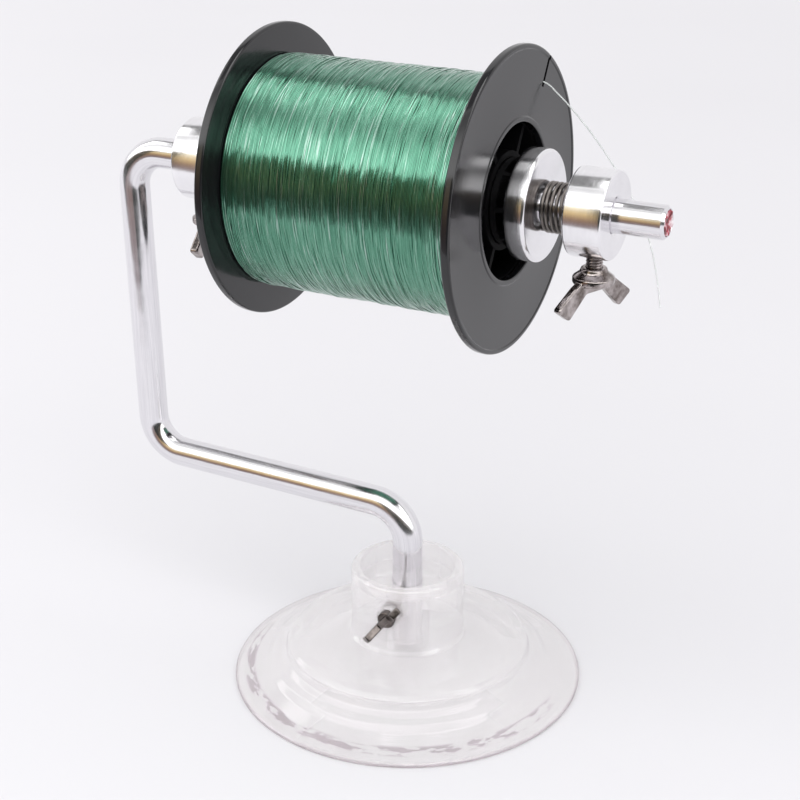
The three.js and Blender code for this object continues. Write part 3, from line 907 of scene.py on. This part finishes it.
def wing_head(name, screw):
    """A die-cast head: a hub on the stud, and two wings that spread away from it."""
    s = screw["scale"] * MM
    foot, hub = screw["foot"] * MM, screw["hub"] * MM
    profile = rounded([
        (0, HUB_FOOT * s, 0),
        (foot, HUB_FOOT * s, 0.3 * s),
        (foot + 0.4 * s, 3.5 * s, 0.5 * s),
        (hub, 4.75 * s, 0.35 * s),
        (hub, 6.4 * s, 0.6 * s),
        (0, 6.6 * s, 0),
    ], closed=False)
    head = lathe(name, profile, 64)
    outline = WING_CORNERS + [(h, -w, f) for h, w, f in reversed(WING_CORNERS)]
    points = rounded([(w * s, h * s, f * s) for h, w, f in outline])
    thick = screw["thick"] * MM
    bm = bmesh.new()
    face = bm.faces.new([bm.verts.new((x, -thick / 2, z)) for x, z in points])
    raised = bmesh.ops.extrude_face_region(bm, geom=[face])
    lifted = [v for v in raised["geom"] if isinstance(v, bmesh.types.BMVert)]
    bmesh.ops.translate(bm, vec=(0, thick, 0), verts=lifted)
    rim = [e for e in bm.edges if abs(e.verts[0].co.y - e.verts[1].co.y) < 1e-9]
    edge = WING_EDGE * MM * screw["scale"]
    bmesh.ops.bevel(bm, geom=rim, offset=edge, segments=3, affect="EDGES", profile=0.5)
    wings = finish_mesh(bm, "wings")
    combine(head, [wings], "UNION")
    remesh = head.modifiers.new("remesh", "REMESH")
    remesh.mode = "VOXEL"
    remesh.voxel_size = CAST_VOXEL * s
    smooth = head.modifiers.new("smooth", "SMOOTH")
    smooth.factor = 0.6
    smooth.iterations = 5
    bpy.context.view_layer.update()
    applied(head)
    bore = (screw["stud"] + FIT_MM) * MM
    depth = (STUD_IN_HEAD + SLACK_MM / screw["scale"]) * s
    combine(head, [plug_shape("drill", bore, 0, depth, 48)], "DIFFERENCE")
    return resmooth(head)


def threaded_stud(name, screw):
    """A set screw with a real helical thread and chamfered ends."""
    radius, pitch = screw["stud"] * MM, screw["pitch"] * MM
    bottom, top = -screw["inside"] * MM, STUD_IN_HEAD * screw["scale"] * MM
    depth = 0.55 * pitch
    columns, per_pitch = 36, 8
    rows = round((top - bottom) / pitch * per_pitch)
    bm = bmesh.new()
    grid = []
    for j in range(rows + 1):
        z = bottom + (top - bottom) * j / rows
        limit = min(radius, radius - depth + abs(z - bottom), radius - depth + abs(top - z))
        row = []
        for i in range(columns):
            a = TAU * i / columns
            phase = ((z - bottom) / pitch - i / columns) % 1
            ridge = min(1.0, 1.5 * (1 - abs(2 * phase - 1)))
            r = min(limit, radius - depth + depth * ridge)
            row.append(bm.verts.new((r * math.cos(a), r * math.sin(a), z)))
        grid.append(row)
    for lower, upper in zip(grid, grid[1:]):
        for i in range(columns):
            j = (i + 1) % columns
            bm.faces.new((lower[i], lower[j], upper[j], upper[i]))
    bm.faces.new(grid[0])
    bm.faces.new(grid[-1])
    return finish_mesh(bm, name, SHARP_THREAD)


def collar_screw_place(side):
    """The place of a collar's screw, which hangs straight down."""
    seat = Vector((middle(f"{side}_screw_stud").x, 0, extent(f"{side}_collar", 2)[0]))
    span = Matrix.Rotation(WING_ANGLES[side] - math.pi / 2, 4, "Z")
    down = Matrix.Rotation(math.pi / 2, 4, "Y")
    return Matrix.Translation(seat) @ (span @ down) @ ALONG_X


def wing_screws(collar_finish, base_finish):
    """The three wing screws, each a cast head on a threaded stud."""
    places = [
        ("base", BASE_SCREW, base_screw_place(), base_finish),
        ("left", COLLAR_SCREW, collar_screw_place("left"), collar_finish),
        ("right", COLLAR_SCREW, collar_screw_place("right"), collar_finish),
    ]
    for side, screw, place, finish in places:
        head = put(wing_head(f"{side}_wings", screw), place)
        stud = put(threaded_stud(f"{side}_thread", screw), place)
        dress(head, finish, f"{side}_head", "nickel", f"{side}_wing_head")
        dress(stud, finish, f"{side}_stud", "nickel", f"{side}_screw_stud")


# ---------------------------------------------------------------- bushes, springs and collars

# Millimetres, and along the axle from the spool's middle.
ROD_BORE = 4.08
BUSH_FRONT = 40.6
BUSH_NOSE = 23.6
BUSH_RIM_T = 5.2
BUSH_RIM_R = 13.3
COLLAR_R = 10.45
COLLAR_NEAR = 48.5
COLLAR_FAR = 57.85
SPRING_R = 6.05
SPRING_WIRE = 0.9
SPRING_TURNS = 6
SPRING_GAP = 0.15
CLOSED_NEAR, CLOSED_FAR = 1.5, 0.5        # closed turns at the bush and at the collar


def bush(side, finish):
    """A turned bush: a flat-faced rim and a cone that centres the spool."""
    rim_back = BUSH_FRONT - BUSH_RIM_T
    profile = rounded([(r * MM, h * MM, f * MM) for r, h, f in [
        (ROD_BORE, BUSH_NOSE, 0.3), (8.2, BUSH_NOSE, 0.5), (11.4, rim_back, 0.2),
        (BUSH_RIM_R, rim_back, 0.45), (BUSH_RIM_R, BUSH_FRONT, 0.85), (ROD_BORE, BUSH_FRONT, 0.3),
    ]], steps=6)
    piece = lathe(f"{side}_turned_bush", profile, 144, ring=True, sharp=SHARP_TURNED)
    return dress(put(piece, along_axle(side)), finish, f"{side}_bush", "aluminium", f"{side}_bush")


def collar(side, finish):
    """A turned collar, drilled across for its wing screw, with a countersunk bore."""
    profile = rounded([(r * MM, h * MM, f * MM) for r, h, f in [
        (ROD_BORE + 0.4, COLLAR_NEAR, 0), (COLLAR_R, COLLAR_NEAR, 0.5), (COLLAR_R, COLLAR_FAR, 0.55),
        (ROD_BORE + 0.55, COLLAR_FAR, 0), (ROD_BORE, COLLAR_FAR - 0.55, 0),
        (ROD_BORE, COLLAR_NEAR + 0.4, 0),
    ]], steps=6)
    piece = lathe(f"{side}_turned_collar", profile, 144, ring=True, sharp=SHARP_TURNED)
    put(piece, along_axle(side))
    screw_x = middle(f"{side}_screw_stud").x
    hole_r = (COLLAR_SCREW["stud"] + SLACK_MM) * MM
    low, seat = -12 * MM, -10.2 * MM
    drill = lathe("drill", [(0, low), (hole_r + 1.0 * MM, low), (hole_r, seat), (hole_r, 0), (0, 0)], 48)
    combine(piece, [put(drill, Matrix.Translation((screw_x, 0, AXLE_Z)))], "DIFFERENCE")
    resmooth(piece, SHARP_TURNED)
    return dress(piece, finish, f"{side}_collar", "aluminium", f"{side}_collar")


def spring(side, finish):
    """A compression spring: its end coils lie closed, and those between them stand open."""
    steps = 48
    start = BUSH_FRONT + SPRING_WIRE / 2 + SPRING_GAP
    end = COLLAR_NEAR - SPRING_WIRE / 2 - SPRING_GAP
    closed_pitch = 1.02 * SPRING_WIRE
    open_run = end - start - closed_pitch * (CLOSED_NEAR + CLOSED_FAR)
    open_pitch = open_run / (SPRING_TURNS - CLOSED_NEAR - CLOSED_FAR)
    reach = SPRING_R - SPRING_WIRE / 2
    points = []
    for i in range(SPRING_TURNS * steps + 1):
        turn = i / steps
        near, far = min(turn, CLOSED_NEAR), max(0.0, turn - SPRING_TURNS + CLOSED_FAR)
        height = start + closed_pitch * (near + far) + open_pitch * (turn - near - far)
        points.append(Vector((reach * math.cos(TAU * turn), reach * math.sin(TAU * turn), height)) * MM)
    bm = bmesh.new()
    bm.verts.layers.float_vector.new("grain")
    tube(bm, points, SPRING_WIRE / 2 * MM, 14, Vector((0, 0, 1)))
    piece = put(finish_mesh(bm, f"{side}_coil", SHARP_COIL), along_axle(side))
    dress(piece, finish, f"{side}_collar", "spring_steel", f"{side}_spring")
    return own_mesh(piece)


# ---------------------------------------------------------------- spool

FLANGE_R = 36.4
FLANGE_T = 2.1
FLANGE_HOLE_R = 18.6
FLANGE_DISH = 0.22
SPOOL_HALF = 32.98
SLIT_ANGLE = math.radians(59.5)   # from +Y towards +Z
SLIT_FLOOR_R = 28.3
SLIT_W = 1.1
BARREL_R = 20.4
SLEEVE_R = (10.2, 11.8)
RIBS = 6
RIB_SIZE = (7.4, 1.4)             # out from the axle, and thick
RIB_MIDDLE_R = 15.2
PACK_R = 29.1
CORE_GAP = 0.3                    # between the line's core and the barrel
CORE_UNDER = 0.42                 # of the core's surface below the pack's
PACK_SUNK = 0.8                   # of the close turns below the pack's surface, in line diameters
PACK_HALF = SPOOL_HALF - FLANGE_T - 0.3
STRAND_PITCH = LINE_D * 0.94
STRAND_FLAT = 0.6                 # turns bed into each other, so their tops look flattened
STRAND_STEPS = 180
CROSSING_STRANDS = 110
SEED = 7


def flange(side, finish):
    """A thin glossy disc with a rounded bead at its rim. The right one is slit for the line's end."""
    inner, outer = SPOOL_HALF - FLANGE_T, SPOOL_HALF
    dish = outer - FLANGE_DISH
    profile = rounded([(r * MM, h * MM, f * MM) for r, h, f in [
        (FLANGE_HOLE_R, inner, 0.25), (FLANGE_R, inner, 0.55), (FLANGE_R, outer, 0.55),
        (35.35, outer, 0.2), (35.1, dish, 0.2), (20.0, dish, 0.2),
        (19.7, outer, 0.15), (FLANGE_HOLE_R, outer, 0.3),
    ]], steps=6)
    piece = lathe(f"{side}_disc", profile, 192, ring=True, sharp=SHARP_TURNED)
    put(piece, along_axle(side))
    if side == "right":
        depth = (FLANGE_R + 2 - SLIT_FLOOR_R) * MM
        bm = bmesh.new()
        bmesh.ops.create_cube(bm, size=1)
        size = Matrix.Diagonal((3 * FLANGE_T * MM, depth, SLIT_W * MM, 1))
        out = Matrix.Translation((0, SLIT_FLOOR_R * MM + depth / 2, 0))
        place = Matrix.Translation((SPOOL_X + (outer - FLANGE_T / 2) * MM, 0, AXLE_Z))
        turned_out = place @ Matrix.Rotation(SLIT_ANGLE, 4, "X") @ out @ size
        bmesh.ops.transform(bm, matrix=turned_out, verts=bm.verts)
        combine(piece, [finish_mesh(bm, "slit")], "DIFFERENCE")
        resmooth(piece, SHARP_TURNED)
    return dress(piece, finish, "spool", "black_plastic", f"{side}_flange")


def barrel(finish):
    """The moulded core: an outer tube, a sleeve for the bushes and six ribs between them."""
    half = PACK_HALF * MM

    def ring(name, inner, outer):
        corners = [(inner, -half, 0.2), (outer, -half, 0.2), (outer, half, 0.2), (inner, half, 0.2)]
        return lathe(name, rounded([(r * MM, h, f * MM) for r, h, f in corners]), 96, ring=True)

    core = ring("ribbed_barrel", FLANGE_HOLE_R, BARREL_R)
    parts = [ring("sleeve", *SLEEVE_R)]
    for i in range(RIBS):
        bm = bmesh.new()
        bmesh.ops.create_cube(bm, size=1)
        a = SLIT_ANGLE + i * TAU / RIBS
        size = Matrix.Diagonal((RIB_SIZE[0] * MM, RIB_SIZE[1] * MM, 2 * half - 0.4 * MM, 1))
        out = Matrix.Translation((RIB_MIDDLE_R * MM, 0, 0))
        bmesh.ops.transform(bm, matrix=Matrix.Rotation(a, 4, "Z") @ out @ size, verts=bm.verts)
        parts.append(finish_mesh(bm, f"rib{i}"))
    combine(core, parts, "UNION")
    put(core, Matrix.Translation((SPOOL_X, 0, AXLE_Z)) @ ALONG_X)
    return dress(resmooth(core), finish, "spool", "black_plastic", "spool_barrel")


def winding(bm, x_from, x_to, radius_at, turn_from, turn_to, tone):
    """One strand round the spool, from one angle and place along the axle to another."""
    count = max(8, round(abs(turn_to - turn_from) * STRAND_STEPS))
    points = []
    for i in range(count + 1):
        t = i / count
        a = TAU * (turn_from + (turn_to - turn_from) * t)
        x = x_from + (x_to - x_from) * t
        r = radius_at(t)
        points.append(Vector((SPOOL_X + x, r * math.cos(a), AXLE_Z + r * math.sin(a))))
    tube(bm, points, LINE_D / 2, 6, Vector((1, 0, 0)), tone, STRAND_FLAT)


def close_turns(bm, rng, surface, half):
    """The last full layer, laid side by side; each turn rides a little high or low on those below."""
    turns = int(2 * (half - LINE_D / 2) / STRAND_PITCH)
    start = -turns * STRAND_PITCH / 2
    for i in range(turns):
        x = start + i * STRAND_PITCH
        lump = 0.14 * MM * noise.noise(Vector((x / (6 * MM), 3.1, 0)))
        lift = rng.uniform(-0.03, 0.03) * MM
        phase = rng.uniform(0, TAU)
        waves = rng.randint(8, 18)
        swell = rng.uniform(0.01, 0.09) * MM

        def radius_at(t):
            c, s = math.cos(TAU * t), math.sin(TAU * t)
            broad = 0.1 * MM * noise.noise(Vector((x / (9 * MM), c * 1.2, s * 1.2)))
            bundle = 0.15 * MM * noise.noise(Vector((x / (1.1 * MM), c * 6, s * 6)))
            return surface + lump + lift + broad + bundle + swell * math.sin(waves * TAU * t + phase)

        winding(bm, x, x + STRAND_PITCH, radius_at, 0.25, 1.25, rng.random())


def crossing_turns(bm, rng, surface, half):
    """Looser strands that come up out of the layer, cross it at a slight angle and sink back in."""
    for _ in range(CROSSING_STRANDS):
        span = rng.uniform(0.2, 0.7)
        x = rng.uniform(-half + 2 * MM, half - 2 * MM)
        drift = rng.choice((-1, 1)) * rng.uniform(0.8, 4.2) * MM * 2 * span
        x_to = min(max(x + drift, -half + LINE_D), half - LINE_D)
        lift = rng.uniform(0.25, 0.5) * LINE_D
        deep = 0.7 * LINE_D

        def radius_at(t):
            rise = min(1.0, 4 * t, 4 * (1 - t))
            return surface - deep + (deep + lift) * rise * rise * (3 - 2 * rise)

        turn = rng.random()
        winding(bm, x, x_to, radius_at, turn, turn + span, rng.uniform(0.3, 1.0))


def wound_pack(finish):
    """The line itself: closely laid turns, with looser strands that cross them at slight angles."""
    rng = random.Random(SEED)
    bm = bmesh.new()
    bm.verts.layers.float_vector.new("grain")
    bm.verts.layers.float.new("tone")
    surface = PACK_R * MM - PACK_SUNK * LINE_D
    half = PACK_HALF * MM
    close_turns(bm, rng, surface, half)
    crossing_turns(bm, rng, surface, half)
    strands = finish_mesh(bm, "wound_line", SHARP_STRAND)
    inside, under = BARREL_R + CORE_GAP, PACK_R - CORE_UNDER
    ends = [(inside, -half), (under, -half), (under, half), (inside, half)]
    core = put(lathe("core", [(r * MM, h) for r, h in ends], ring=True), along_axle("right"))
    bm = bmesh.new()
    bm.from_mesh(strands.data)
    bm.from_mesh(core.data)
    bm.to_mesh(strands.data)
    bm.free()
    bpy.data.objects.remove(core)
    resmooth(strands, SHARP_STRAND)
    return dress(strands, finish, "spool", "green_line", "line_pack")


# ---------------------------------------------------------------- assembly

turned = turned_metal("turned aluminium", (0.91, 0.905, 0.92), (0.78, 0.77, 0.79), 0.16, 0.006 * MM)
drawn = drawn_metal("drawn aluminium", (0.84, 0.83, 0.85), (0.66, 0.65, 0.68), 0.15, 0.004 * MM)
nickel = nickel_plate("nickel plate", (0.5, 0.455, 0.445), (0.15, 0.125, 0.115))
dull_nickel = nickel_plate("dull nickel plate", (0.2, 0.175, 0.165), (0.07, 0.06, 0.055))
steel = spring_wire("spring wire")
black = moulded_black("glossy black styrene", 0.008, 0.09, 0.5)
# A darker copy of the black styrene, nearly without sheen: painted shade for the hub recess, where the
# sleeve and ribs sit.
black_with_painted_shade = moulded_black("black styrene core, painted recess shade", 0.003, 0.5, 0.03)

bent_rod(drawn)
end_plug(red_rubber("red rubber"))
pvc_cup(clear_pvc("clear PVC"))
cup_nut(nickel)
wing_screws(nickel, dull_nickel)
for side in ("left", "right"):
    bush(side, turned)
    collar(side, turned)
    spring(side, steel)
    flange(side, black)
# The barrel gets the darker, sheenless black, which paints shade into the hub recess.
barrel(black_with_painted_shade)
wound_pack(wound_line("wound green line"))
